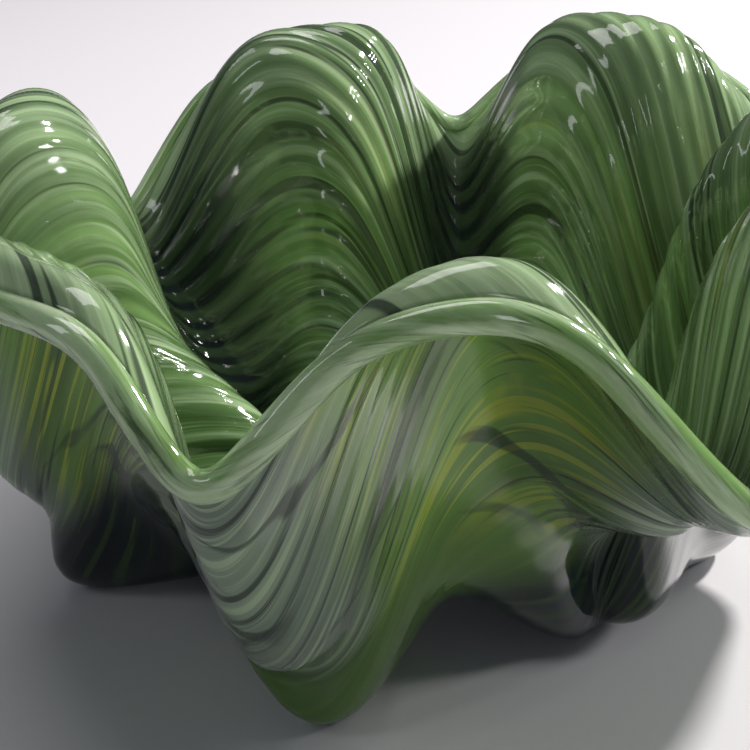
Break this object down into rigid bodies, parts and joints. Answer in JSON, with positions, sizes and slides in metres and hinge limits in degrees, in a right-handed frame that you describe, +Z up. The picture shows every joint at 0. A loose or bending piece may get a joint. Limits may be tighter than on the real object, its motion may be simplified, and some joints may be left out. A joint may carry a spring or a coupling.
{
  "type": "fluted art glass bowl",
  "caption": "Deep blown bowl of cased streaked green glass, drawn into high curled folds and low spouts, with a thick rounded lip.",
  "frame": {"origin": "on the table, under the middle of the bowl's overall box", "axes": "+Z up out of the bowl, +X to the right and -Y to the front, with the front crest a little left of -Y"},
  "size_m": [0.3424, 0.3314, 0.1677],
  "materials": {
    "clear_glass": "polished",
    "leaf_green_glass": "polished",
    "celadon_glass": "polished",
    "lip_glass": "polished"
  },
  "bodies": {
    "root": {"inner_clear_gather": "clear_glass", "leaf_green_coat": "leaf_green_glass", "celadon_opal_coat": "celadon_glass", "outer_clear_casing": "clear_glass", "lip_bead": "lip_glass"}
  },
  "joints": []
}
